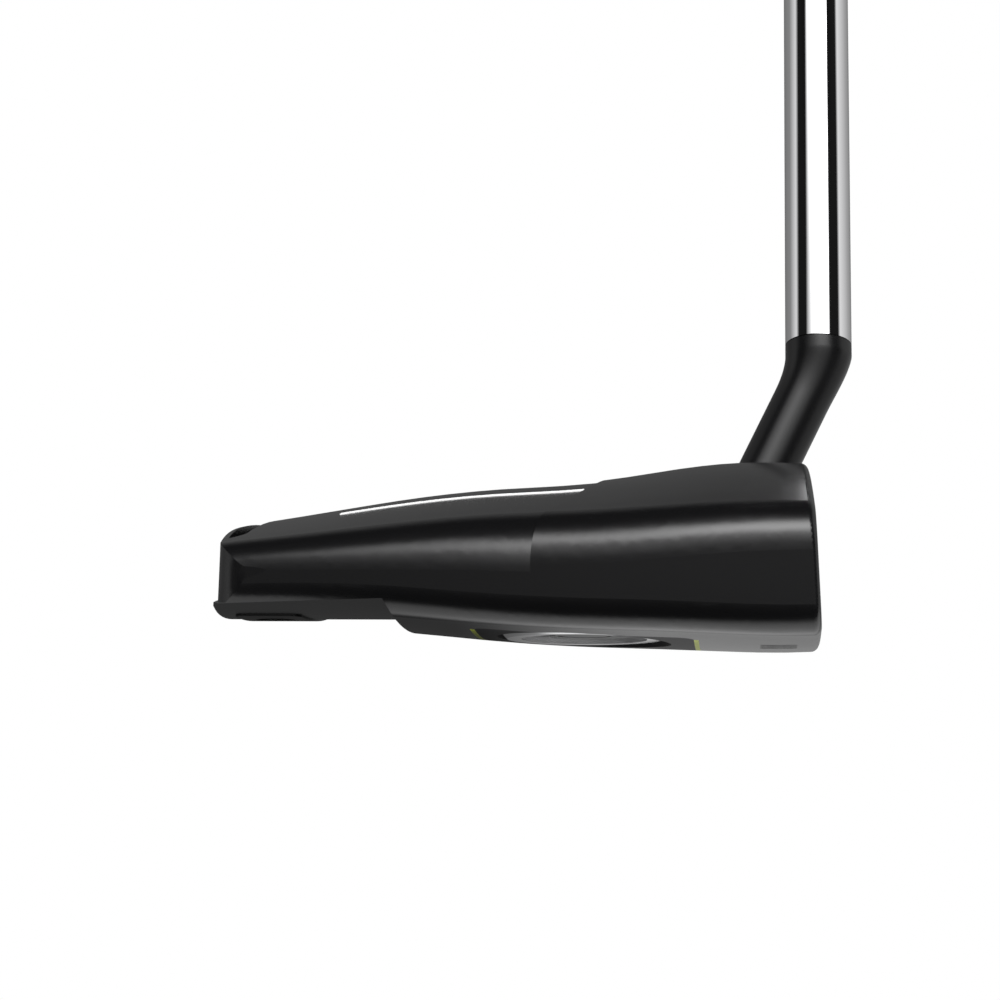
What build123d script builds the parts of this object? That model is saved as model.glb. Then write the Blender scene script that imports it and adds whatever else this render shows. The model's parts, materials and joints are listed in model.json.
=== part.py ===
"""Mallet putter, right-handed, 34 inch: milled head, slant neck, stepped steel shaft and grip.

Frame, in millimetres: +X is the way the ball is struck, +Y runs from the toe to the heel (towards
the golfer) and +Z is up. The origin is the middle of the small flat on the sole that the club
rests on. Distances called "back" are measured rearwards from the leading edge.
"""
import os
from math import asin, cos, radians, sin, sqrt

from build123d import *

os.makedirs("parts", exist_ok=True)

# --- head, overall ---------------------------------------------------------------------------
leading_edge = 6.0          # X of the leading edge
face_lean = 3.0             # lean of the face, degrees
head_length = 78.0          # leading edge to the middle of the tail
head_half_width = 47.4      # widest, just behind the face
tail_half_width = 40.0
tail_bow = 2.2              # the tail's corners are this much ahead of its middle
tail_draft = 2.5            # lean of the tail wall, degrees
tail_flare = 0.25           # how much the sides of its plan widen, for each unit forwards
tail_corner_out = 1.3       # its corners start this far outside the side walls
tail_lip = 0.5              # bead round the foot of the tail wall
tail_lip_top = 7.4
widest_back = 24.0          # where the head is widest
crown_height = 25.2         # crest of the crown above the sole
tail_corner_radius = 6.0    # side wall to tail, in plan
sole_edge_radius = 4.0      # sole to side wall
face_edge_radius = 1.0      # all round the face

# --- sole ------------------------------------------------------------------------------------
sole_camber = 254.0         # heel-to-toe radius of the sole
landing_flat_depth = 0.12   # how much of the camber the landing flat takes off
tail_underside = 4.1        # height of the raised underside behind the sole step
step_back = 52.4            # where the sole steps up
step_run = 1.8

# --- crown -----------------------------------------------------------------------------------
dome_drop = 0.25            # the rear dome is this much below the front block at the crease
dome_softer = 1.2           # and its sides are rounded by a radius this much larger
dome_wider = 0.01           # keeps its side walls just outside the head's
crease_back = 28.5          # crease between the block and the dome, on the centreline
crease_side_back = 34.0     # the same, out at crease_side
crease_side = 41.0
tail_recess_back = head_length - 5.0     # front edge of the channel in the top of the tail
tail_rim = 1.5              # rim left behind that channel
tail_recess_floor = 13.2
tail_recess_half_width = 34.0
sight_line_spacing = 42.7   # the two lines frame a golf ball
sight_line_width = 0.9
sight_line_depth = 0.3
sight_line_front = 30.4
sight_line_rear = 62.0

# --- face insert -----------------------------------------------------------------------------
insert_half_width = 33.0
insert_low = 3.4            # lower edge, measured up the face
insert_high = 20.2
insert_corner = 5.0
insert_thickness = 2.6
bond_pad_thickness = 0.6
groove_pitch = 1.3
groove_width = 0.55
groove_depth = 0.25

# --- sole plate ------------------------------------------------------------------------------
plate_front = 15.4
plate_rear = 44.0
plate_half_width = 38.6
plate_corner = 2.0
plate_thickness = 1.6
trim_width = 0.6            # coloured strip along the plate's front and rear edges
tick_count = 4
tick_size = (4.6, 0.7)      # along X, along Y
tick_pitch = 1.7
tick_back = 5.4
tick_side = 30.0
tick_depth = 0.3

# --- sole weights ----------------------------------------------------------------------------
weight_back = 30.0          # port centre behind the leading edge
weight_side = 29.0          # and out from the centreline
weight_diameter = 22.0
weight_bevel = 1.2
weight_recess = 0.3         # the weight's flat face sits this far inside the cambered sole
weight_thickness = 4.2
weight_shank_diameter = 10.0
weight_shank_length = 6.0
port_depth = 12.0           # from the sole to the bottom of the shank's hole
washer_thickness = 0.8
washer_diameter = 20.0
cap_diameter = 16.0
cap_thickness = 1.4
cap_recess = 0.5            # the cap sits this far below the weight's face
wrench_hole_diameter = 2.4
wrench_hole_circle = 9.6
cap_ring_radius = 3.2       # shallow ring groove in the cap
cap_ring_width = 0.5
running_clearance = 0.05    # radial, weight in its port
washer_clearance = 0.3      # radial, washer round the shank and in the port

# --- tail weight bar -------------------------------------------------------------------------
tail_bar_width = 8.6
tail_bar_half_length = 27.0
tail_bar_thickness = 3.0
tail_bar_proud = 0.25
tail_bar_inset = 0.6        # from the rear wall
tail_screw_side = 18.0
tail_screw_diameter = 3.0
tail_screw_head = 5.2
tail_screw_length = 7.0
tail_screw_socket = 2.2     # across the corners of its hexagon
tail_screw_socket_depth = 1.4

# --- neck and shaft line ---------------------------------------------------------------------
lie = 70.0                  # shaft to ground, degrees
bend_ahead = 0.75           # bend, ahead of the leading edge
bend_side = 25.4
bend_height = 39.2
neck_slope = (0.493, 0.372) # X and Y run of the slanted rod for each unit of height
neck_diameter = 7.92
neck_bend_radius = 4.7      # ball that joins rod and collar
neck_reach = 27.0           # height from the bend down to the rod's lower end, inside the head
collar_length = 3.1         # bend to the shaft's tip
collar_diameter = 9.4
spigot_length = 26.0
spigot_chamfer = 0.5
bond_line = 0.1             # glue between spigot and shaft
bond_short = 1.0            # the glue stops this far short of the spigot's end

shaft_wall = 0.6
shaft_tip_diameter = 9.4
shaft_butt_diameter = 15.2
spigot_diameter = shaft_tip_diameter - 2 * (shaft_wall + bond_line)
shaft_tip_length = 232.0    # parallel tip section
shaft_step_count = 12
shaft_step_length = 26.0
club_length = 863.6         # 34 inches, along the shaft line from the ground

# --- grip ------------------------------------------------------------------------------------
grip_length = 268.0
grip_tape = 0.3
grip_skin = 1.3
mouth_radius = 10.3
mouth_flat = 9.6            # shaft line to the flat front, at the mouth
grip_butt_radius = 14.2
grip_butt_flat = 11.4
grip_edge = 2.2             # rounding where the flat meets the round back
grip_swell = 1.3            # how late the grip widens: 1 is a straight taper
grip_section_places = (0.0, 0.35, 0.7, 1.0)  # share of its length at each lofted section
grip_cap_thickness = 3.0
grip_cap_plug = 6.0
grip_cap_plug_gap = 0.1
vent_radius = 2.5


# --- frames of reference ---------------------------------------------------------------------
def section_plane(back):
    """Plane across the head, at a distance behind the leading edge; its axes are Y and Z."""
    return Plane((leading_edge - back, 0, 0), x_dir=(0, 1, 0), z_dir=(1, 0, 0))


face_plane = Plane(
    (leading_edge, 0, 0), x_dir=(0, 1, 0), z_dir=(cos(radians(face_lean)), 0, sin(radians(face_lean)))
)
shaft_direction = Vector(0, cos(radians(lie)), sin(radians(lie)))
bend_point = Vector(leading_edge + bend_ahead, bend_side, bend_height)
neck_direction = Vector(neck_slope[0], neck_slope[1], 1).normalized()


def along_shaft(distance):
    """Plane square to the shaft, at a distance above the bend; its x axis is the club's X."""
    return Plane(bend_point + shaft_direction * distance, x_dir=(1, 0, 0), z_dir=shaft_direction)


butt_end = club_length - bend_height / sin(radians(lie))
shaft_start = collar_length
shaft_end = butt_end - grip_cap_thickness
grip_start = butt_end - grip_length
head_top = crown_height + 10     # cutters reach from below the sole to above the crown
below_sole = 5.0
side_reach = head_half_width + 15
sole_reach = head_length * 1.154    # the lofts run on behind the tail


# --- head surfaces ---------------------------------------------------------------------------
# one station along the head: share of its length back from the leading edge, crest height, crown
# camber, crown rounding, sole height
stations = [
    (-0.064, crown_height, 176.0, 6.0, 0.0),
    (0.051, crown_height, 176.0, 6.2, 0.0),
    (0.154, crown_height - 0.1, 178.0, 6.4, 0.1),
    (0.269, crown_height - 1.2, 200.0, 6.6, 0.4),
    (0.385, crown_height - 2.5, 236.0, 6.6, 0.65),
    (0.545, crown_height - 3.3, 250.0, 6.0, 1.4),
    (0.718, crown_height - 4.8, 256.0, 4.8, 2.6),
    (0.891, crown_height - 7.0, 300.0, 3.6, 3.1),
    (1.019, crown_height - 8.9, 340.0, 2.8, 3.3),
    (sole_reach / head_length, crown_height - 11.0, 400.0, 2.0, 3.4),
]

def arc_height(radius, half_chord):
    """How far a circle falls from its top, half_chord away from it."""
    return radius - sqrt(radius**2 - half_chord**2)


def half_width_at(back):
    """The head's half width: a parabola, widest at widest_back."""
    return head_half_width - (head_half_width - tail_half_width) * (
        (back - widest_back) / (head_length - widest_back)
    ) ** 2


def head_blank(drop=0.0, softer=1.0, wider=0.0):
    """Smooth head: rounded sections lofted from beyond the face to beyond the tail. Its crown can
    be lowered by drop, rounded by a larger radius (softer) and be made a little wider."""
    with BuildPart() as solid:
        for share, crest, camber, rounding, sole in stations:
            back = share * head_length
            half_width = half_width_at(back) + wider
            crest -= drop
            top_side = crest - arc_height(camber, half_width)
            low_side = sole - landing_flat_depth + arc_height(sole_camber, half_width)
            with BuildSketch(section_plane(back)) as section:
                with BuildLine():
                    ThreePointArc((-half_width, top_side), (0, crest), (half_width, top_side))
                    Line((half_width, top_side), (half_width, low_side))
                    ThreePointArc(
                        (half_width, low_side), (0, sole - landing_flat_depth), (-half_width, low_side)
                    )
                    Line((-half_width, low_side), (-half_width, top_side))
                make_face()
                fillet(section.vertices().group_by(Axis.Y)[-1], rounding * softer)
                fillet(section.vertices().group_by(Axis.Y)[0], sole_edge_radius)
        loft()
    return solid.part


# --- tools that cut the head and shape what is let into it ------------------------------------
def plan_prism(inset, low, high):
    """Upright prism whose rear follows the tail and whose front is well ahead of the face."""
    with BuildPart() as prism:
        with BuildSketch(Plane.XY.offset(low)) as plan:
            with BuildLine():
                corner_x = leading_edge - head_length + tail_bow + inset
                corner_y = tail_half_width + tail_corner_out - inset
                flare_x = corner_x + (side_reach - corner_y) / tail_flare
                front_x = flare_x + side_reach
                ThreePointArc(
                    (corner_x, corner_y), (leading_edge - head_length + inset, 0), (corner_x, -corner_y)
                )
                Polyline(
                    (corner_x, -corner_y),
                    (flare_x, -side_reach),
                    (front_x, -side_reach),
                    (front_x, side_reach),
                    (flare_x, side_reach),
                    (corner_x, corner_y),
                )
            make_face()
            fillet(plan.vertices().group_by(Axis.X)[0], tail_corner_radius)
        extrude(amount=high - low, taper=tail_draft)
    return prism.part


def behind_crease():
    """Upright prism behind the curved crease between the front block and the rear dome."""
    crease_radius = (crease_side**2 + (crease_side_back - crease_back) ** 2) / (
        2 * (crease_side_back - crease_back)
    )
    end_back = crease_back + arc_height(crease_radius, side_reach)
    rear_x = leading_edge - sole_reach
    with BuildPart() as prism:
        with BuildSketch():
            with BuildLine():
                ThreePointArc(
                    (leading_edge - end_back, side_reach),
                    (leading_edge - crease_back, 0),
                    (leading_edge - end_back, -side_reach),
                )
                Polyline(
                    (leading_edge - end_back, -side_reach),
                    (rear_x, -side_reach),
                    (rear_x, side_reach),
                    (leading_edge - end_back, side_reach),
                )
            make_face()
        extrude(amount=head_top)
    return prism.part


def sole_height(back):
    """Height of the sole's centreline, from the stations."""
    place = back / head_length
    for (share_a, *_, height_a), (share_b, *_, height_b) in zip(stations, stations[1:]):
        if place <= share_b:
            part_way = (place - share_a) / (share_b - share_a)
            return height_a + part_way * (height_b - height_a) - landing_flat_depth
    return stations[-1][-1]


def above_sole(front, rear, front_height, rear_height):
    """Cambered solid above a straight sole line between two distances back."""
    with BuildPart() as solid:
        with BuildSketch(Plane.XZ):
            with BuildLine():
                Polyline(
                    (leading_edge - front, front_height),
                    (leading_edge - rear, rear_height),
                    (leading_edge - rear, sole_camber - 1),
                    (leading_edge - front, sole_camber - 1),
                    close=True,
                )
            make_face()
        revolve(axis=Axis((0, 0, sole_camber), (1, 0, 0)))
    return solid.part


def sole_pocket(outline, front, rear, depth):
    """Cutter for a pocket of the given outline in the sole, its floor following the camber."""
    with BuildPart() as pocket:
        with BuildSketch(Plane.XY.offset(-below_sole)):
            add(outline)
        extrude(amount=head_top)
        add(
            above_sole(front, rear, sole_height(front) + depth, sole_height(rear) + depth),
            mode=Mode.SUBTRACT,
        )
    return pocket.part


def weight_plane(side):
    """Plane on the sole at a weight port, looking outwards along the port (side is -1 or 1)."""
    tilt = asin(weight_side / sole_camber)
    outward = Vector(0, side * sin(tilt), -cos(tilt))
    reach = sole_camber - sole_height(weight_back) - weight_recess
    mouth = Vector(leading_edge - weight_back, 0, sole_camber) + outward * reach
    return Plane(mouth, x_dir=(1, 0, 0), z_dir=outward)


blank = head_blank()
dome = head_blank(dome_drop, dome_softer, dome_wider)
sole_pockets = []

# --- sole plate, its trim and the tick marks --------------------------------------------------
plate_length = plate_rear - plate_front
plate_mid_x = leading_edge - (plate_front + plate_rear) / 2
with BuildSketch() as plate_outline:
    with Locations((plate_mid_x, 0)):
        RectangleRounded(plate_length - 2 * trim_width, 2 * plate_half_width, plate_corner)
sole_pockets.append(sole_pocket(plate_outline.sketch, plate_front, plate_rear, plate_thickness))
with BuildPart() as sole_plate:
    add(blank)
    add(sole_pockets[-1], mode=Mode.INTERSECT)
    for side in (-1, 1):
        with Locations(weight_plane(side)):
            Cylinder(weight_diameter / 2 + running_clearance, head_top, mode=Mode.SUBTRACT)
sole_plate.part.label = "sole_plate"
export_step(sole_plate.part, "parts/sole_plate.step")

trims = {}
for name, strip_back in (("front", plate_front), ("rear", plate_rear - trim_width)):
    with BuildSketch() as strip_outline:
        with Locations((leading_edge - strip_back - trim_width / 2, 0)):
            Rectangle(trim_width, 2 * (plate_half_width - plate_corner))
    sole_pockets.append(sole_pocket(strip_outline.sketch, plate_front, plate_rear, plate_thickness / 2))
    with BuildPart() as trims[name]:
        add(blank)
        add(sole_pockets[-1], mode=Mode.INTERSECT)
    trims[name].part.label = f"sole_trim_{name}"
    export_step(trims[name].part, f"parts/sole_trim_{name}.step")

with BuildSketch() as tick_outline:
    with Locations((leading_edge - tick_back, -tick_side)):
        with GridLocations(1, tick_pitch, 1, tick_count):
            Rectangle(*tick_size)
tick_ends = (tick_back - tick_size[0], tick_back + tick_size[0])
sole_pockets.append(sole_pocket(tick_outline.sketch, *tick_ends, tick_depth))
with BuildPart() as sole_tick_marks:
    add(blank)
    add(sole_pockets[-1], mode=Mode.INTERSECT)
sole_tick_marks.part.label = "sole_tick_marks"
export_step(sole_tick_marks.part, "parts/sole_tick_marks.step")

# --- sight lines ------------------------------------------------------------------------------
sight_line_x = leading_edge - (sight_line_front + sight_line_rear) / 2
sight_lines = {}
for name, side in (("toe", -1), ("heel", 1)):
    with BuildPart() as sight_lines[name]:
        with BuildSketch():
            with Locations((sight_line_x, side * sight_line_spacing / 2)):
                Rectangle(sight_line_rear - sight_line_front, sight_line_width)
        extrude(amount=head_top)
        add(dome, mode=Mode.INTERSECT)
        add(head_blank(dome_drop + sight_line_depth, dome_softer, dome_wider), mode=Mode.SUBTRACT)
    sight_lines[name].part.label = f"sight_line_{name}"
    export_step(sight_lines[name].part, f"parts/sight_line_{name}.step")

# --- face insert and the pad that bonds it ----------------------------------------------------
insert_centre = (0, (insert_low + insert_high) / 2)
insert_size = (2 * insert_half_width, insert_high - insert_low)
groove_count = int((insert_size[1] - 2 * groove_pitch) / groove_pitch)
insert_plane = face_plane.offset(-insert_thickness)
with BuildPart() as face_insert:
    with BuildSketch(insert_plane):
        with Locations(insert_centre):
            RectangleRounded(*insert_size, insert_corner)
    extrude(amount=insert_thickness)
    with BuildSketch(face_plane):
        with Locations(insert_centre):
            with GridLocations(1, groove_pitch, 1, groove_count):
                SlotOverall(insert_size[0] - 2 * insert_corner, groove_width)
    extrude(amount=-groove_depth, mode=Mode.SUBTRACT)
face_insert.part.label = "face_insert"
export_step(face_insert.part, "parts/face_insert.step")

with BuildPart() as insert_bond_pad:
    with BuildSketch(insert_plane):
        with Locations(insert_centre):
            RectangleRounded(*insert_size, insert_corner)
    extrude(amount=-bond_pad_thickness)
insert_bond_pad.part.label = "insert_bond_pad"
export_step(insert_bond_pad.part, "parts/insert_bond_pad.step")

# --- tail weight bar and its screws -----------------------------------------------------------
bar_rear_x = leading_edge - head_length + tail_bow + tail_bar_inset
bar_bottom = tail_underside - tail_bar_proud
bar_screw_height = bar_bottom + arc_height(sole_camber, tail_screw_side)


def tail_bar_slab(top):
    """The bar's outline, from under the tail up to a cambered surface at the given height."""
    with BuildPart() as slab:
        with BuildSketch(Plane.XY.offset(-below_sole)):
            with Locations((bar_rear_x + tail_bar_width / 2, 0)):
                RectangleRounded(tail_bar_width, 2 * tail_bar_half_length, tail_bar_width / 4)
        extrude(amount=head_top)
        add(above_sole(0, sole_reach, top, top), mode=Mode.SUBTRACT)
    return slab.part


with BuildPart() as tail_weight_bar:
    add(tail_bar_slab(tail_underside + tail_bar_thickness))
    add(tail_bar_slab(bar_bottom), mode=Mode.SUBTRACT)
    with Locations(Plane((0, 0, bar_screw_height), x_dir=(1, 0, 0), z_dir=(0, 0, -1))):
        with Locations(
            (bar_rear_x + tail_bar_width / 2, -tail_screw_side),
            (bar_rear_x + tail_bar_width / 2, tail_screw_side),
        ):
            CounterSinkHole(tail_screw_diameter / 2, tail_screw_head / 2)
tail_weight_bar.part.label = "tail_weight_bar"
export_step(tail_weight_bar.part, "parts/tail_weight_bar.step")

screw_cone = (tail_screw_head - tail_screw_diameter) / 2
with BuildPart() as tail_bar_screws:
    with BuildSketch(Plane.XZ):
        with BuildLine():
            Polyline(
                (0, 0),
                (tail_screw_head / 2, 0),
                (tail_screw_diameter / 2, screw_cone),
                (tail_screw_diameter / 2, tail_screw_length),
                (0, tail_screw_length),
                close=True,
            )
        make_face()
    revolve(axis=Axis.Z)
    with BuildSketch():
        RegularPolygon(tail_screw_socket / 2, 6)
    extrude(amount=tail_screw_socket_depth, mode=Mode.SUBTRACT)
one_screw = tail_bar_screws.part
screw_places = [
    (bar_rear_x + tail_bar_width / 2, side * tail_screw_side, bar_screw_height)
    for side in (-1, 1)
]
with BuildPart() as tail_bar_screws:
    with Locations(*screw_places):
        add(one_screw)
tail_bar_screws.part.label = "tail_bar_screws"
export_step(tail_bar_screws.part, "parts/tail_bar_screws.step")

# --- neck -------------------------------------------------------------------------------------
neck_low = bend_point - neck_direction * (neck_reach / neck_direction.Z)
with BuildPart() as slant_neck:
    with BuildSketch(Plane(neck_low, x_dir=(0, 1, 0), z_dir=neck_direction)):
        Circle(neck_diameter / 2)
    extrude(amount=(bend_point - neck_low).length)
    with Locations(bend_point):
        Sphere(neck_bend_radius)
    with BuildSketch(along_shaft(0)):
        Circle(collar_diameter / 2)
    extrude(amount=collar_length)
    with BuildSketch(along_shaft(collar_length)):
        Circle(spigot_diameter / 2)
    extrude(amount=spigot_length)
    chamfer(slant_neck.edges().filter_by(GeomType.CIRCLE).sort_by(Axis.Z)[-1], spigot_chamfer)
slant_neck.part.label = "slant_neck"
export_step(slant_neck.part, "parts/slant_neck.step")

# --- head body --------------------------------------------------------------------------------
with BuildPart() as above_dome:
    add(behind_crease())
    add(dome, mode=Mode.SUBTRACT)

with BuildPart() as under_tail:
    with BuildSketch(Plane.XZ):
        with BuildLine():
            Polyline(
                (leading_edge - step_back, -head_top),
                (leading_edge - step_back, sole_height(step_back) - 1),
                (leading_edge - step_back - step_run, tail_underside),
                (leading_edge - sole_reach, tail_underside),
                (leading_edge - sole_reach, -head_top),
                close=True,
            )
        make_face()
    revolve(axis=Axis((0, 0, sole_camber), (1, 0, 0)))

with BuildPart() as tail_recess:
    add(plan_prism(tail_rim, tail_recess_floor, head_top))
    with BuildSketch(Plane.XY.offset(tail_recess_floor)):
        with Locations((leading_edge - tail_recess_back - head_length / 2, 0)):
            RectangleRounded(head_length, 2 * tail_recess_half_width, tail_corner_radius - tail_rim)
    extrude(amount=head_top, mode=Mode.INTERSECT)

with BuildPart() as tail_foot:
    add(blank)
    add(plan_prism(-tail_lip, -below_sole, tail_lip_top), mode=Mode.INTERSECT)
    with BuildSketch(section_plane(sole_reach)):
        Rectangle(4 * head_half_width, 4 * head_half_width)
    extrude(amount=sole_reach - tail_recess_back, mode=Mode.INTERSECT)

with BuildPart() as head_body:
    add(blank)
    add(plan_prism(0, -below_sole, head_top), mode=Mode.INTERSECT)
    with BuildSketch(face_plane):
        Rectangle(4 * head_half_width, 4 * head_half_width)
    extrude(amount=head_half_width, mode=Mode.SUBTRACT)
    fillet(head_body.faces().sort_by(Axis.X)[-1].edges(), face_edge_radius)
    add(tail_foot.part)
    with BuildSketch():
        Rectangle(4 * head_length, 4 * head_half_width)
    extrude(amount=-below_sole, mode=Mode.SUBTRACT)
    add(above_dome.part, mode=Mode.SUBTRACT)
    add(under_tail.part, mode=Mode.SUBTRACT)
    add(tail_recess.part, mode=Mode.SUBTRACT)
    for cutter in sole_pockets + [line.part for line in sight_lines.values()]:
        add(cutter, mode=Mode.SUBTRACT)
    with BuildSketch(face_plane):
        with Locations(insert_centre):
            RectangleRounded(*insert_size, insert_corner)
    extrude(amount=-insert_thickness - bond_pad_thickness, mode=Mode.SUBTRACT)
    add(tail_bar_slab(tail_underside + tail_bar_thickness), mode=Mode.SUBTRACT)
    add(tail_bar_screws.part, mode=Mode.SUBTRACT)
    with BuildSketch(Plane(neck_low, x_dir=(0, 1, 0), z_dir=neck_direction)):
        Circle(neck_diameter / 2)
    extrude(amount=(bend_point - neck_low).length, mode=Mode.SUBTRACT)
    for side in (-1, 1):
        with BuildSketch(weight_plane(side).offset(weight_thickness)):
            Circle(weight_diameter / 2 + running_clearance)
        extrude(amount=-2 * weight_thickness - washer_thickness, mode=Mode.SUBTRACT)
        with BuildSketch(weight_plane(side)):
            Circle(weight_shank_diameter / 2 + running_clearance)
        extrude(amount=-port_depth, mode=Mode.SUBTRACT)
head_body.part.label = "head_body"
export_step(head_body.part, "parts/head_body.step")

# --- sole weights -----------------------------------------------------------------------------
for name, side in (("toe", -1), ("heel", 1)):
    port = weight_plane(side)
    seat = port.offset(-weight_thickness)
    with BuildPart() as weight:
        with BuildSketch(port):
            Circle(weight_diameter / 2)
        extrude(amount=-weight_thickness)
        rim = weight.faces().sort_by(Axis(port.origin, port.z_dir))[-1].edges()
        chamfer(rim, weight_bevel)
        with BuildSketch(port):
            Circle(cap_diameter / 2)
        extrude(amount=-cap_thickness - cap_recess, mode=Mode.SUBTRACT)
        with BuildSketch(seat):
            Circle(weight_shank_diameter / 2)
        extrude(amount=-weight_shank_length)
    weight.part.label = f"{name}_weight"
    export_step(weight.part, f"parts/{name}_weight.step")

    with BuildPart() as cap:
        with BuildSketch(port.offset(-cap_recess)):
            Circle(cap_diameter / 2)
            with PolarLocations(wrench_hole_circle / 2, 2):
                Circle(wrench_hole_diameter / 2, mode=Mode.SUBTRACT)
        extrude(amount=-cap_thickness)
        with BuildSketch(port.offset(-cap_recess)):
            Circle(cap_ring_radius + cap_ring_width)
            Circle(cap_ring_radius, mode=Mode.SUBTRACT)
            with PolarLocations(wrench_hole_circle / 2, 2):
                Circle(wrench_hole_diameter / 2 + cap_ring_width, mode=Mode.SUBTRACT)
        extrude(amount=-cap_ring_width, mode=Mode.SUBTRACT)
    cap.part.label = f"{name}_weight_cap"
    export_step(cap.part, f"parts/{name}_weight_cap.step")

    with BuildPart() as washer:
        with BuildSketch(seat):
            Circle(washer_diameter / 2)
            Circle(weight_shank_diameter / 2 + washer_clearance, mode=Mode.SUBTRACT)
        extrude(amount=-washer_thickness)
    washer.part.label = f"{name}_weight_washer"
    export_step(washer.part, f"parts/{name}_weight_washer.step")

# --- shaft ------------------------------------------------------------------------------------
across_shaft = (0, -sin(radians(lie)), cos(radians(lie)))
shaft_side_plane = Plane(bend_point, x_dir=(1, 0, 0), z_dir=across_shaft)
shaft_step_rise = (shaft_butt_diameter - shaft_tip_diameter) / 2 / shaft_step_count
with BuildPart() as shaft:
    with BuildSketch(shaft_side_plane):
        with BuildLine():
            radius = shaft_tip_diameter / 2
            height = shaft_start + shaft_tip_length
            outline = [(radius, shaft_start), (radius, height)]
            for _ in range(shaft_step_count):
                radius += shaft_step_rise
                outline.append((radius, height + 2 * shaft_step_rise))
                height += shaft_step_length
                outline.append((radius, height))
            outline[-1] = (radius, shaft_end)
            inside = [(r - shaft_wall, h) for r, h in reversed(outline)]
            Polyline(outline + inside, close=True)
        make_face()
    revolve(axis=Axis(bend_point, shaft_direction))
shaft.part.label = "shaft"
export_step(shaft.part, "parts/shaft.step")

with BuildPart() as shaft_bond:
    with BuildSketch(along_shaft(shaft_start)):
        Circle(shaft_tip_diameter / 2 - shaft_wall)
        Circle(spigot_diameter / 2, mode=Mode.SUBTRACT)
    extrude(amount=spigot_length - bond_short)
shaft_bond.part.label = "shaft_bond"
export_step(shaft_bond.part, "parts/shaft_bond.step")


# --- grip -------------------------------------------------------------------------------------
def grip_solid(inset, start, end):
    """Grip shape: round behind and flat in front, tapering up to the butt, pulled in by inset."""
    with BuildPart() as solid:
        for share in grip_section_places:
            ease = share**grip_swell
            radius = mouth_radius + ease * (grip_butt_radius - mouth_radius) - inset
            flat = mouth_flat + ease * (grip_butt_flat - mouth_flat) - inset
            with BuildSketch(along_shaft(start + share * (end - start))) as section:
                Circle(radius)
                with Locations((0, -flat - radius)):
                    Rectangle(4 * radius, 2 * radius, mode=Mode.SUBTRACT)
                fillet(section.vertices().group_by(Axis.Y)[0], grip_edge)
        loft()
    return solid.part


grip_end = butt_end - grip_cap_thickness
bore_radius = shaft_butt_diameter / 2 + grip_tape
with BuildPart() as grip_underlisting:
    add(grip_solid(grip_skin, grip_start, grip_end))
    with BuildSketch(along_shaft(grip_start)):
        Circle(bore_radius)
    extrude(amount=grip_length, mode=Mode.SUBTRACT)
grip_underlisting.part.label = "grip_underlisting"
export_step(grip_underlisting.part, "parts/grip_underlisting.step")

with BuildPart() as grip_body:
    add(grip_solid(0, grip_start, grip_end))
    add(grip_solid(grip_skin, grip_start, grip_end), mode=Mode.SUBTRACT)
grip_body.part.label = "grip_body"
export_step(grip_body.part, "parts/grip_body.step")

with BuildPart() as grip_tape_layer:
    with BuildSketch(along_shaft(grip_start)):
        Circle(bore_radius)
        Circle(shaft_butt_diameter / 2, mode=Mode.SUBTRACT)
    extrude(amount=grip_end - grip_start)
grip_tape_layer.part.label = "grip_tape"
export_step(grip_tape_layer.part, "parts/grip_tape.step")

with BuildPart() as grip_end_cap:
    with BuildSketch(along_shaft(grip_end)) as cap_section:
        Circle(grip_butt_radius)
        with Locations((0, -grip_butt_flat - grip_butt_radius)):
            Rectangle(4 * grip_butt_radius, 2 * grip_butt_radius, mode=Mode.SUBTRACT)
        fillet(cap_section.vertices().group_by(Axis.Y)[0], grip_edge)
    extrude(amount=grip_cap_thickness)
    top_rim = grip_end_cap.faces().sort_by(Axis(bend_point, shaft_direction))[-1].edges()
    fillet(top_rim, grip_cap_thickness / 2)
    with BuildSketch(along_shaft(grip_end)):
        Circle(shaft_butt_diameter / 2 - shaft_wall - grip_cap_plug_gap)
    extrude(amount=-grip_cap_plug)
    with BuildSketch(along_shaft(butt_end)):
        Circle(vent_radius)
    extrude(amount=-grip_cap_thickness - grip_cap_plug, mode=Mode.SUBTRACT)
grip_end_cap.part.label = "grip_end_cap"
export_step(grip_end_cap.part, "parts/grip_end_cap.step")
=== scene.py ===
"""Mallet putter: finishes, a smooth neck, painted sight lines, a plain studio and the camera."""
import json
from math import atan2, cos, pi, radians, sin

import bmesh
import bpy
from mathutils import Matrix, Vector


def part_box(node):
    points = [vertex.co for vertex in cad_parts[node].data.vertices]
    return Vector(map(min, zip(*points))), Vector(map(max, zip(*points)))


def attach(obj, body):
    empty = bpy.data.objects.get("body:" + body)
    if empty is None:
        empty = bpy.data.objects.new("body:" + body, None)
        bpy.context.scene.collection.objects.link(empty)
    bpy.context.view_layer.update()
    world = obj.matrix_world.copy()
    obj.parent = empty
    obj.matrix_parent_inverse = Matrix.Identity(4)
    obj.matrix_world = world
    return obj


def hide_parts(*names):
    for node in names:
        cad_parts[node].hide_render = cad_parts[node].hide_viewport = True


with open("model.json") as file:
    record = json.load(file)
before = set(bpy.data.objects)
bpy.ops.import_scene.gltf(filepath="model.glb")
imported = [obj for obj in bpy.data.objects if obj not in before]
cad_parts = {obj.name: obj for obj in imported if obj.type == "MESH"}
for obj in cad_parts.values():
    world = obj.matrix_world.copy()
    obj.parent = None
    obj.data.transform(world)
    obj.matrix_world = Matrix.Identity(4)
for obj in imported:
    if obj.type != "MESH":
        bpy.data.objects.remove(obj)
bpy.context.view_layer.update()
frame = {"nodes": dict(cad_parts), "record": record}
nodes = frame["nodes"]
MM = 0.001

# Front of the head, read from the frame
LEADING_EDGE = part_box("head_body")[1].x


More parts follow.
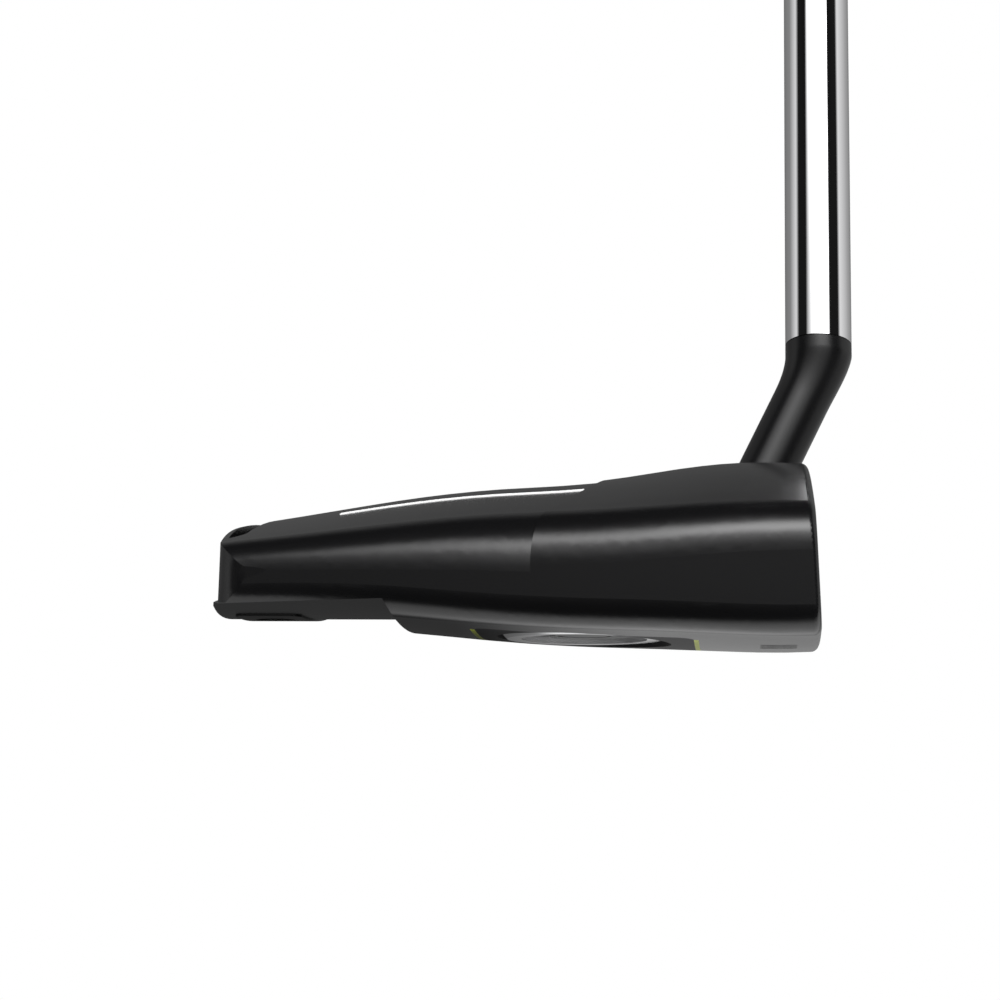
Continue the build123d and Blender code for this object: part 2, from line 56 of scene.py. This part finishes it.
# --- camera ----------------------------------------------------------------------------------
CAMERA_PLACE = Vector((LEADING_EDGE - 9.5 * MM, -474.8 * MM, 20.2 * MM))
CAMERA_YAW = radians(4.0)
CAMERA_LENS = 126.5


def add_camera():
    """Level camera beside the toe, turned a little towards the tail."""
    data = bpy.data.cameras.new("camera")
    data.lens = CAMERA_LENS
    data.sensor_width = 36.0
    data.clip_start = 0.01
    data.clip_end = 50.0
    camera = bpy.data.objects.new("camera", data)
    bpy.context.collection.objects.link(camera)
    camera.location = CAMERA_PLACE
    camera.rotation_euler = (pi / 2, 0.0, CAMERA_YAW)
    bpy.context.scene.camera = camera


# --- shader nodes ----------------------------------------------------------------------------
def new_group(name, inputs, outputs):
    """Empty node group with number sockets: inputs by name and default, outputs by name."""
    group = bpy.data.node_groups.new(name, "ShaderNodeTree")
    for label, default in inputs.items():
        socket = group.interface.new_socket(label, in_out="INPUT", socket_type="NodeSocketFloat")
        socket.default_value = default
    for label in outputs:
        group.interface.new_socket(label, in_out="OUTPUT", socket_type="NodeSocketFloat")
    enter = group.nodes.new("NodeGroupInput")
    leave = group.nodes.new("NodeGroupOutput")
    return group, enter, leave


def fine_grain_group():
    """Blasted grain: a height for bump and a mottle that varies roughness."""
    group, enter, leave = new_group(
        "fine_grain", {"Grain size": 2500.0, "Mottle size": 60.0}, ("Height", "Mottle"))
    link = group.links.new
    place = group.nodes.new("ShaderNodeTexCoord")
    for size, detail, output in (("Grain size", 3.0, "Height"), ("Mottle size", 2.0, "Mottle")):
        noise = group.nodes.new("ShaderNodeTexNoise")
        noise.inputs["Detail"].default_value = detail
        link(place.outputs["Object"], noise.inputs["Vector"])
        link(enter.outputs[size], noise.inputs["Scale"])
        link(noise.outputs["Fac"], leave.inputs[output])
    return group


GRAIN = fine_grain_group()


def maths(tree, operation, *values):
    """Output of a new math node that works on numbers and other nodes' outputs."""
    node = tree.nodes.new("ShaderNodeMath")
    node.operation = operation
    for socket, value in zip(node.inputs, values):
        if isinstance(value, (int, float)):
            socket.default_value = value
        else:
            tree.links.new(value, socket)
    return node.outputs["Value"]


def steps_ramp(tree, places):
    """Colour ramp with a grey level at each place from 0 to 1."""
    ramp = tree.nodes.new("ShaderNodeValToRGB")
    marks = ramp.color_ramp.elements
    marks.remove(marks[1])
    marks[0].position = 0.0
    marks[0].color = (places[0][1],) * 3 + (1.0,)
    for place, level in places:
        mark = marks.new(place)
        mark.color = (level, level, level, 1.0)
    return ramp


def new_material(name):
    """New material with its node tree and its shader node."""
    material = bpy.data.materials.new(name)
    material.use_nodes = True
    tree = material.node_tree
    return material, tree, tree.nodes["Principled BSDF"]


# --- finishes --------------------------------------------------------------------------------
BUMP_STRENGTH = 0.5


def grained_finish(name, colour, metallic, roughness, spread, grain, depth_mm, ior=1.5):
    """Satin finish: fine blasted grain in the bump and a slow mottle in the roughness, which
    varies by spread either way."""
    material, tree, shader = new_material(name)
    shader.inputs["Base Color"].default_value = (*colour, 1.0)
    shader.inputs["Metallic"].default_value = metallic
    shader.inputs["IOR"].default_value = ior
    surface = tree.nodes.new("ShaderNodeGroup")
    surface.node_tree = GRAIN
    surface.inputs["Grain size"].default_value = grain
    rough = tree.nodes.new("ShaderNodeMapRange")
    rough.inputs["To Min"].default_value = roughness - spread
    rough.inputs["To Max"].default_value = roughness + spread
    bump = tree.nodes.new("ShaderNodeBump")
    bump.inputs["Strength"].default_value = BUMP_STRENGTH
    bump.inputs["Distance"].default_value = depth_mm * MM
    link = tree.links.new
    link(surface.outputs["Mottle"], rough.inputs["Value"])
    link(rough.outputs["Result"], shader.inputs["Roughness"])
    link(surface.outputs["Height"], bump.inputs["Height"])
    link(bump.outputs["Normal"], shader.inputs["Normal"])
    return material


black_satin = grained_finish("black_satin_coat", (0.006, 0.006, 0.0065), 0.0, 0.24, 0.02, 3000.0, 0.004)
neck_satin = grained_finish(
    "neck_satin_coat", (0.004, 0.004, 0.0045), 0.0, 0.32, 0.02, 3000.0, 0.006, ior=1.42)
plate_satin = grained_finish(
    "plate_black", (0.006, 0.006, 0.0065), 0.0, 0.5, 0.03, 2500.0, 0.01, ior=1.3)
chrome = grained_finish("chrome_plate", (0.86, 0.86, 0.87), 1.0, 0.05, 0.01, 800.0, 0.0005)
steel = grained_finish("weight_steel", (0.95, 0.95, 0.96), 1.0, 0.2, 0.04, 1200.0, 0.003)
cap_black = grained_finish("cap_black", (0.008, 0.008, 0.009), 0.0, 0.28, 0.03, 2500.0, 0.006)
insert_grey = grained_finish("insert_milled", (0.35, 0.35, 0.36), 1.0, 0.35, 0.04, 1500.0, 0.005)
olive = grained_finish("olive_paint", (0.42, 0.48, 0.03), 0.0, 0.4, 0.03, 1500.0, 0.004)
white_paint = grained_finish("white_paint", (0.97, 0.97, 0.97), 0.0, 0.4, 0.03, 1500.0, 0.004)
tick_paint = grained_finish(
    "tick_paint", (0.01, 0.01, 0.01), 0.0, 0.7, 0.03, 1500.0, 0.004, ior=1.15)
rubber = grained_finish("grip_rubber", (0.022, 0.022, 0.023), 0.0, 0.62, 0.05, 900.0, 0.12)
seal_rubber = grained_finish("seal_rubber", (0.02, 0.02, 0.02), 0.0, 0.55, 0.04, 1600.0, 0.02)
tape_cloth = grained_finish("tape_cloth", (0.6, 0.55, 0.45), 0.0, 0.8, 0.05, 1200.0, 0.03)
glue = grained_finish("glue", (0.5, 0.45, 0.3), 0.0, 0.5, 0.05, 900.0, 0.01)

# The sight lines' white paint also glows a little, as painted light, so that they stay white where the
# studio is dim
WHITE_PAINTED_GLOW = 0.45
white_shader = white_paint.node_tree.nodes["Principled BSDF"]
white_shader.inputs["Emission Color"].default_value = (1.0, 1.0, 1.0, 1.0)
white_shader.inputs["Emission Strength"].default_value = WHITE_PAINTED_GLOW


def dress(piece, material):
    """Gives a piece its one material."""
    piece.data.materials.clear()
    piece.data.materials.append(material)


def finish_piece(piece, material, node):
    """Gives a piece its material, hangs it on the club and hides the CAD node it stands for."""
    dress(piece, material)
    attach(piece, "club")
    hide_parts(node)


finishes = {
    "head_body": black_satin, "slant_neck": neck_satin, "sole_plate": plate_satin,
    "sole_trim_front": olive, "sole_trim_rear": olive, "sole_tick_marks": tick_paint,
    "tail_weight_bar": neck_satin, "tail_bar_screws": steel,
    "sight_line_toe": white_paint, "sight_line_heel": white_paint,
    "face_insert": insert_grey, "insert_bond_pad": seal_rubber, "shaft": chrome, "shaft_bond": glue,
    "toe_weight": steel, "heel_weight": steel, "toe_weight_cap": cap_black, "heel_weight_cap": cap_black,
    "toe_weight_washer": seal_rubber, "heel_weight_washer": seal_rubber,
    "grip_body": rubber, "grip_underlisting": seal_rubber, "grip_tape": tape_cloth, "grip_end_cap": rubber,
}
for node_name, finish in finishes.items():
    dress(nodes[node_name], finish)


# --- neck ------------------------------------------------------------------------------------
SMOOTH_ANGLE = radians(35.0)
FORWARDS = Vector((1.0, 0.0, 0.0))

# The bend stands on the shaft's axis, which ends at the vent in the butt
vent = next(mount for mount in frame["record"]["mounts"] if mount["name"] == "butt_vent")
SHAFT_AXIS = Vector(vent["axis"]).normalized()
BEND_HEIGHT = 39.2 * MM
BEND = Vector(vent["pos_m"]) - SHAFT_AXIS * ((vent["pos_m"][2] - BEND_HEIGHT) / SHAFT_AXIS.z)
# The rod leans forwards and towards the heel as it rises
ROD_AXIS = Vector((0.493, 0.372, 1.0)).normalized()
ROD_RADIUS = 3.96 * MM
ROD_FOOT = 29.0 * MM
ROD_TOP = 9.0 * MM
# The curve starts below the bend on the rod and ends above it on the shaft's axis
BEND_START = 6.2 * MM
BEND_END = 1.4 * MM
BEND_STEPS = 12
COLLAR_RADIUS = 4.7 * MM
COLLAR_LENGTH = 3.1 * MM
COLLAR_EDGE = 0.15 * MM
# The spigot starts a hair above the collar's flat top
SPIGOT_RADIUS = 4.0 * MM
SPIGOT_START = 0.02 * MM
SPIGOT_LENGTH = 26.0 * MM
NECK_SEGMENTS = 96


def ring_sweep(name, stations, segments):
    """Closed solid through round rings. Each station is (centre, along, radius), and the ring
    lies square to along, with its angle counted from the front."""
    bpy.ops.object.select_all(action="DESELECT")
    bpy.ops.mesh.primitive_circle_add(vertices=segments, radius=1.0)
    piece = bpy.context.object
    piece.name = name
    bpy.ops.object.mode_set(mode="EDIT")
    last = (Vector(), Vector((1.0, 0.0, 0.0)), Vector((0.0, 1.0, 0.0)))
    for number, (centre, along, radius) in enumerate(stations):
        if number:
            bpy.ops.mesh.extrude_region()
        along = along.normalized()
        first = (FORWARDS - along * FORWARDS.dot(along)).normalized()
        second = along.cross(first)
        cage = bmesh.from_edit_mesh(piece.data)
        for corner in [corner for corner in cage.verts if corner.select]:
            arm = corner.co - last[0]
            angle = atan2(arm.dot(last[2]), arm.dot(last[1]))
            corner.co = centre + (first * cos(angle) + second * sin(angle)) * radius
        bmesh.update_edit_mesh(piece.data)
        if not number:
            bpy.ops.mesh.select_all(action="SELECT")
        last = (centre, first, second)
    bpy.ops.mesh.edge_face_add()
    bpy.ops.mesh.select_all(action="DESELECT")
    bpy.ops.mesh.select_mode(type="EDGE")
    bpy.ops.mesh.select_non_manifold()
    bpy.ops.mesh.edge_face_add()
    bpy.ops.mesh.select_all(action="SELECT")
    bpy.ops.mesh.normals_make_consistent(inside=False)
    bpy.ops.mesh.select_mode(type="VERT")
    bpy.ops.object.mode_set(mode="OBJECT")
    bpy.ops.object.shade_smooth_by_angle(angle=SMOOTH_ANGLE)
    return piece


def smooth_neck(bend, rod):
    """Neck swept as one bar: up the slanted rod, round the bend, into the collar and the spigot."""
    stations = [(bend - rod * distance, rod, ROD_RADIUS) for distance in (ROD_FOOT, ROD_TOP)]
    start = bend - rod * BEND_START
    end = bend + SHAFT_AXIS * BEND_END
    for step in range(BEND_STEPS + 1):
        share = step / BEND_STEPS
        ease = share * share * (3 - 2 * share)
        place = start.lerp(bend, share).lerp(bend.lerp(end, share), share)
        turn = rod.lerp(SHAFT_AXIS, ease).normalized()
        stations.append((place, turn, ROD_RADIUS + (COLLAR_RADIUS - ROD_RADIUS) * ease))
    tip = bend + SHAFT_AXIS * COLLAR_LENGTH
    for rise, radius in (
        (-COLLAR_EDGE, COLLAR_RADIUS), (0.0, COLLAR_RADIUS - COLLAR_EDGE),
        (SPIGOT_START, SPIGOT_RADIUS), (SPIGOT_LENGTH, SPIGOT_RADIUS),
    ):
        stations.append((tip + SHAFT_AXIS * rise, SHAFT_AXIS, radius))
    return ring_sweep("smooth_neck", stations, NECK_SEGMENTS)


# --- sight lines -----------------------------------------------------------------------------
LINE_WIDTH = 1.7 * MM
LINE_PROUD = 0.12 * MM
LINE_DEPTH = 0.4 * MM
LINE_STEPS = 48
# The crown's height is felt this far to each side of a line, clear of its groove
FEEL_ASIDE = 1.2 * MM
FEEL_FROM = 0.1
DOWN = Vector((0.0, 0.0, -1.0))


def sight_strip(name, node):
    """Painted line as a thin strip that follows the crown, a hair proud of it."""
    low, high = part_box(node)
    middle_y = (low.y + high.y) / 2
    head = nodes["head_body"]

    def crown_height(x, y):
        hit, spot, _, _ = head.ray_cast(Vector((x, y, FEEL_FROM)), DOWN)
        return spot.z if hit else high.z

    bpy.ops.object.select_all(action="DESELECT")
    bpy.ops.mesh.primitive_grid_add(x_subdivisions=LINE_STEPS, y_subdivisions=2, size=1.0)
    strip = bpy.context.object
    strip.name = name
    bpy.ops.object.mode_set(mode="EDIT")
    cage = bmesh.from_edit_mesh(strip.data)
    for corner in cage.verts:
        x = low.x + (high.x - low.x) * (corner.co.x + 0.5)
        y = middle_y + LINE_WIDTH * corner.co.y
        toe_side, heel_side = (crown_height(x, middle_y + side * FEEL_ASIDE) for side in (-1, 1))
        share = (y - middle_y) / (2 * FEEL_ASIDE) + 0.5
        corner.co = Vector((x, y, toe_side + (heel_side - toe_side) * share + LINE_PROUD))
    bmesh.update_edit_mesh(strip.data)
    bpy.ops.object.mode_set(mode="OBJECT")
    thick = strip.modifiers.new("thick", "SOLIDIFY")
    thick.thickness = LINE_DEPTH
    thick.offset = -1.0
    bpy.ops.object.modifier_apply(modifier="thick")
    return strip


finish_piece(smooth_neck(BEND, ROD_AXIS), neck_satin, "slant_neck")
for side in ("toe", "heel"):
    strip = sight_strip(f"sight_strip_{side}", f"sight_line_{side}")
    finish_piece(strip, white_paint, f"sight_line_{side}")


# --- studio ----------------------------------------------------------------------------------
FRONT_BOX = 11.0


def at_bearing(degrees):
    """Place on a bearing ramp. Bearing 0 is straight out from the toe, and the front is positive."""
    return 0.5 + degrees / 360.0


def light_world():
    """Studio surround by direction: a wide front box, dark flags beside it, pale sides and back,
    and a strong box overhead in front. What the camera sees directly is plain white."""
    world = bpy.data.worlds.new("studio")
    bpy.context.scene.world = world
    world.use_nodes = True
    tree = world.node_tree
    link = tree.links.new
    backdrop = tree.nodes["Background"]
    backdrop.inputs["Color"].default_value = (1.0, 1.0, 1.0, 1.0)
    place = tree.nodes.new("ShaderNodeTexCoord")
    split = tree.nodes.new("ShaderNodeSeparateXYZ")
    link(place.outputs["Generated"], split.inputs["Vector"])
    towards = maths(tree, "MULTIPLY", split.outputs["Y"], -1.0)
    turn = maths(tree, "ARCTAN2", split.outputs["X"], towards)
    bearing = maths(tree, "ADD", maths(tree, "DIVIDE", turn, 2 * pi), 0.5)
    height = maths(tree, "DIVIDE", maths(tree, "ARCSINE", split.outputs["Z"]), pi / 2)

    def profile(value, *marks):
        ramp = steps_ramp(tree, marks)
        link(value, ramp.inputs["Fac"])
        return ramp.outputs["Color"]

    front_across = profile(
        bearing, (at_bearing(-52), 0.0), (at_bearing(-44), 0.2), (at_bearing(-18), 0.4),
        (at_bearing(4), 0.85), (at_bearing(42), 1.0), (at_bearing(47), 0.0),
    )
    front_up = profile(
        height, (0.0, 0.03), (0.10, 0.035), (0.24, 0.10), (0.36, 0.20), (0.43, 0.24), (0.50, 0.65),
        (0.58, 1.0), (0.68, 0.8), (0.80, 0.04), (1.0, 0.004),
    )
    sides = profile(
        bearing, (at_bearing(-180), 0.12), (at_bearing(-150), 0.2), (at_bearing(-120), 0.25),
        (at_bearing(-92), 0.75), (at_bearing(-82), 0.01), (at_bearing(82), 0.01),
        (at_bearing(90), 0.8), (at_bearing(130), 0.4), (at_bearing(180), 0.12),
    )
    sides_up = profile(height, (0.0, 1.0), (0.40, 1.0), (0.60, 0.04), (1.0, 0.02))
    front = maths(tree, "MULTIPLY", maths(tree, "MULTIPLY", front_across, front_up), FRONT_BOX)
    total = maths(tree, "ADD", maths(tree, "MULTIPLY", sides, sides_up), front)
    seen = tree.nodes.new("ShaderNodeLightPath").outputs["Is Camera Ray"]
    thrown = maths(tree, "MULTIPLY", total, maths(tree, "SUBTRACT", 1.0, seen))
    link(maths(tree, "ADD", thrown, seen), backdrop.inputs["Strength"])


FLOOR_SIZE = 60.0
FLOOR_DROP = 0.2 * MM
# How bright each part of the floor looks to the club
FLOOR_FAR = 0.3
FLOOR_DARK = 0.03
FLOOR_STRIP = 1.1
FLOOR_NEAR = 0.45
FLOOR_TAIL = 0.08


def add_floor():
    """Plain white floor. What it throws back is bright under and behind the head, with a brighter
    strip under its toe edge, dark just in front of that, and a soft grey farther off. It is clear
    from below."""
    bpy.ops.object.select_all(action="DESELECT")
    bpy.ops.mesh.primitive_plane_add(size=FLOOR_SIZE, location=(0.0, 0.0, -FLOOR_DROP))
    floor = bpy.context.object
    floor.name = "floor"
    material, tree, shader = new_material("white_floor")
    link = tree.links.new
    place = tree.nodes.new("ShaderNodeTexCoord")
    split = tree.nodes.new("ShaderNodeSeparateXYZ")
    link(place.outputs["Object"], split.inputs["Vector"])

    def fade(axis, start, end, low, high):
        node = tree.nodes.new("ShaderNodeMapRange")
        node.interpolation_type = "SMOOTHSTEP"
        node.inputs["From Min"].default_value = start
        node.inputs["From Max"].default_value = end
        node.inputs["To Min"].default_value = low
        node.inputs["To Max"].default_value = high
        link(split.outputs[axis], node.inputs["Value"])
        return node.outputs["Result"]

    open_floor = fade("Y", -0.16, -0.07, FLOOR_FAR, FLOOR_DARK)
    under = fade("Y", -0.050, -0.043, 0.0, FLOOR_NEAR)
    forwards = fade("X", -0.042, -0.015, FLOOR_TAIL, 1.0)
    strip_front = fade("Y", -0.050, -0.046, 0.0, FLOOR_STRIP)
    strip_rear = fade("Y", -0.041, -0.036, 1.0, 0.0)
    with_strip = maths(tree, "MULTIPLY_ADD", strip_front, strip_rear, open_floor)
    total = maths(tree, "MULTIPLY_ADD", under, forwards, with_strip)
    seen = tree.nodes.new("ShaderNodeLightPath")
    level = tree.nodes.new("ShaderNodeMix")
    level.inputs["B"].default_value = 1.0
    link(seen.outputs["Is Camera Ray"], level.inputs["Factor"])
    link(total, level.inputs["A"])
    shader.inputs["Base Color"].default_value = (0.0, 0.0, 0.0, 1.0)
    shader.inputs["Specular IOR Level"].default_value = 0.0
    shader.inputs["Emission Color"].default_value = (1.0, 1.0, 1.0, 1.0)
    link(level.outputs["Result"], shader.inputs["Emission Strength"])
    clear = tree.nodes.new("ShaderNodeBsdfTransparent")
    underside = tree.nodes.new("ShaderNodeNewGeometry")
    one_sided = tree.nodes.new("ShaderNodeMixShader")
    link(underside.outputs["Backfacing"], one_sided.inputs["Fac"])
    link(shader.outputs["BSDF"], one_sided.inputs[1])
    link(clear.outputs["BSDF"], one_sided.inputs[2])
    link(one_sided.outputs["Shader"], tree.nodes["Material Output"].inputs["Surface"])
    dress(floor, material)


add_camera()
light_world()
add_floor()
bpy.context.scene.view_settings.view_transform = "Standard"
